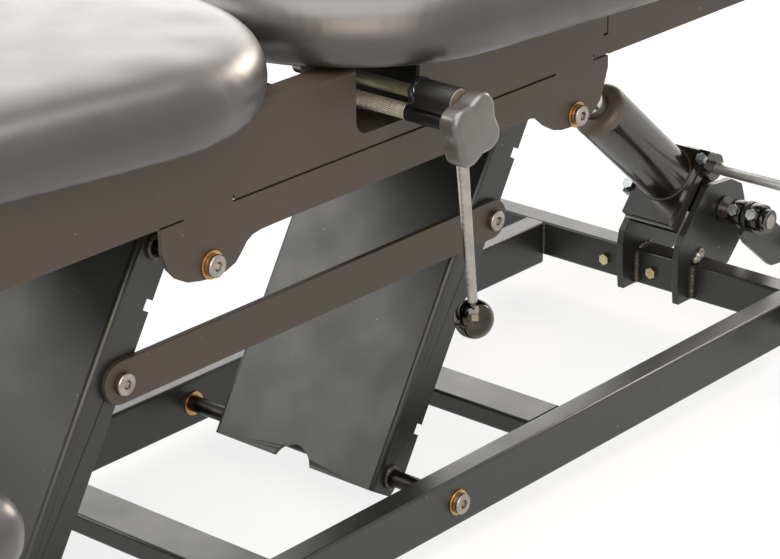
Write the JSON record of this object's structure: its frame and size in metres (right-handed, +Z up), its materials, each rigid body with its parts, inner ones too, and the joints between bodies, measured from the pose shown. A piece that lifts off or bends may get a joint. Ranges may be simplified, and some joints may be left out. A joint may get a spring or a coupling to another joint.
{
  "type": "chiropractic table",
  "caption": "Padded treatment table on a parallelogram lift, with a drop section, cocking lever, sliding head piece, swing arm rests and hydraulic jack.",
  "frame": {"origin": "on the floor, under the middle of the table's overall box", "axes": "+X along the table towards the foot end, +Z up, -Y the side with the drop lever and the knob"},
  "size_m": [1.906, 0.8, 0.5643],
  "materials": {
    "frame_paint": "satin black powder coat",
    "jack_paint": "gloss black enamel",
    "black_oxide": "blackened turned steel",
    "bronze": "turned sintered bronze",
    "steel": "bright turned steel",
    "knurled_steel": "knurled bright steel",
    "zinc_plate": "yellow zinc plated",
    "clear_zinc": "clear zinc plated",
    "chrome": "polished chrome plate",
    "vinyl": "satin black upholstery vinyl over foam",
    "plywood": "birch plywood stained black",
    "rubber": "moulded black rubber",
    "knob_plastic": "moulded satin black plastic"
  },
  "bodies": {
    "base": {"base_rail_near": "frame_paint", "base_rail_far": "frame_paint", "base_cross_tubes": "frame_paint", "base_foot_bar_head": "frame_paint", "base_foot_bar_pump": "frame_paint", "base_bushes": "bronze", "foot_stems": "steel", "foot_pads": "rubber", "jack_clevis": "frame_paint", "zinc_bolts": "zinc_plate", "jack_pivot_shaft": "steel", "shaft_collars": "frame_paint", "collar_bolts": "clear_zinc"},
    "front_leg": {"front_leg_plate": "frame_paint", "front_leg_shafts": "black_oxide", "front_shaft_screws": "steel", "tie_pin_front": "steel"},
    "rear_leg": {"rear_leg_plate": "frame_paint", "rear_leg_shafts": "black_oxide", "rear_shaft_screws": "steel", "tie_pin_rear": "steel"},
    "tie": {"tie_bar": "frame_paint"},
    "top_frame": {"side_plate_near": "frame_paint", "side_plate_far": "frame_paint", "frame_cross_head": "frame_paint", "drop_carrier": "frame_paint", "jack_cross": "frame_paint", "frame_cross_foot": "frame_paint", "frame_bushes": "bronze", "chest_board": "plywood", "chest_cushion": "vinyl", "leg_board": "plywood", "leg_cushion": "vinyl", "armrest_sockets": "frame_paint", "pelvic_hinge_base": "frame_paint"},
    "drop_section": {"pelvic_hinge_leaf": "frame_paint", "pelvic_board": "plywood", "pelvic_cushion": "vinyl"},
    "cocking_lever": {"cam_shaft": "chrome", "lever_sleeves": "frame_paint", "lever_rod": "frame_paint", "lever_ball": "chrome", "lift_cams": "steel"},
    "tension_knob": {"star_knob": "knob_plastic", "tension_rod": "knurled_steel"},
    "head_slide": {"head_slide_rods": "steel", "head_hinge_bracket": "frame_paint"},
    "head_piece": {"head_hinge_leaf": "frame_paint", "head_board": "plywood", "head_cushion": "vinyl"},
    "jack": {"jack_cylinder": "jack_paint", "jack_flange": "jack_paint", "jack_bolts": "clear_zinc"},
    "ram": {"jack_ram": "chrome"},
    "pump": {"pump_lever": "chrome"},
    "release": {"release_arm": "frame_paint"},
    "arm_near": {"armrest_arm_near": "frame_paint", "armrest_pad_near": "vinyl"},
    "arm_far": {"armrest_arm_far": "frame_paint", "armrest_pad_far": "vinyl"}
  },
  "joints": [
    {"name": "lift", "type": "hinge", "parent": "base", "child": "rear_leg", "pos_m": [0.032, 0, 0.05], "axis": [0, -1, 0], "range_deg": [-20.5, 1.6]},
    {"name": "front_lift", "type": "hinge", "parent": "base", "child": "front_leg", "pos_m": [-0.4553, 0, 0.05], "axis": [0, -1, 0], "range_deg": [-20.6, 1.7]},
    {"name": "top_level", "type": "hinge", "parent": "rear_leg", "child": "top_frame", "pos_m": [0.22243, 0, 0.37073], "axis": [0, -1, 0], "range_deg": [-1.7, 20.6]},
    {"name": "tie_level", "type": "hinge", "parent": "rear_leg", "child": "tie", "pos_m": [0.1728, 0, 0.26715], "axis": [0, -1, 0], "range_deg": [-1.7, 20.6]},
    {"name": "jack_sway", "type": "hinge", "parent": "base", "child": "jack", "pos_m": [0.656, 0, 0.123], "axis": [0, -1, 0], "range_deg": [-0.5, 0.1]},
    {"name": "ram_stroke", "type": "slide", "parent": "jack", "child": "ram", "axis": [-0.7638, 0, 0.6454], "range_m": [-0.1326, 0.0105]},
    {"name": "drop_tilt", "type": "hinge", "parent": "top_frame", "child": "drop_section", "pos_m": [0.3205, 0, 0.47902], "axis": [0, 1, 0], "range_deg": [0, 1.75]},
    {"name": "cocking", "type": "hinge", "parent": "top_frame", "child": "cocking_lever", "pos_m": [-0.055, 0, 0.47092], "axis": [0, -1, 0], "range_deg": [0, 60]},
    {"name": "drop_tension", "type": "hinge", "parent": "cocking_lever", "child": "tension_knob", "pos_m": [-0.055, 0, 0.45193], "axis": [0, 1, 0], "continuous": true},
    {"name": "head_extend", "type": "slide", "parent": "top_frame", "child": "head_slide", "axis": [-1, 0, 0], "range_m": [0, 0.08]},
    {"name": "head_tilt", "type": "hinge", "parent": "head_slide", "child": "head_piece", "pos_m": [-0.702, 0, 0.46203], "axis": [0, -1, 0], "range_deg": [-12, 30]},
    {"name": "pump_stroke", "type": "hinge", "parent": "jack", "child": "pump", "pos_m": [0.63998, -0.02, 0.17516], "axis": [0, 1, 0], "range_deg": [0, 20], "stiffness_Nm_per_rad": 20, "springref_deg": -11.46},
    {"name": "release_press", "type": "hinge", "parent": "base", "child": "release", "pos_m": [0.656, -0.081, 0.123], "axis": [0, 1, 0], "range_deg": [0, 8], "stiffness_Nm_per_rad": 20, "springref_deg": -8.59},
    {"name": "arm_swing_near", "type": "hinge", "parent": "top_frame", "child": "arm_near", "pos_m": [-0.572, -0.186, 0.44803], "axis": [0, 0, 1], "range_deg": [-15, 60]},
    {"name": "arm_swing_far", "type": "hinge", "parent": "top_frame", "child": "arm_far", "pos_m": [-0.572, 0.186, 0.44803], "axis": [0, 0, -1], "range_deg": [-15, 60]}
  ],
  "couplings": [
    {"joint": "front_lift", "follows": "lift", "ratio": 1},
    {"joint": "top_level", "follows": "lift", "ratio": -1},
    {"joint": "tie_level", "follows": "lift", "ratio": -1},
    {"joint": "jack_sway", "follows": "lift", "ratio": 0.02},
    {"joint": "ram_stroke", "follows": "lift", "m_per_rad": 0.37},
    {"joint": "drop_tilt", "follows": "cocking", "ratio": 0.0285}
  ]
}
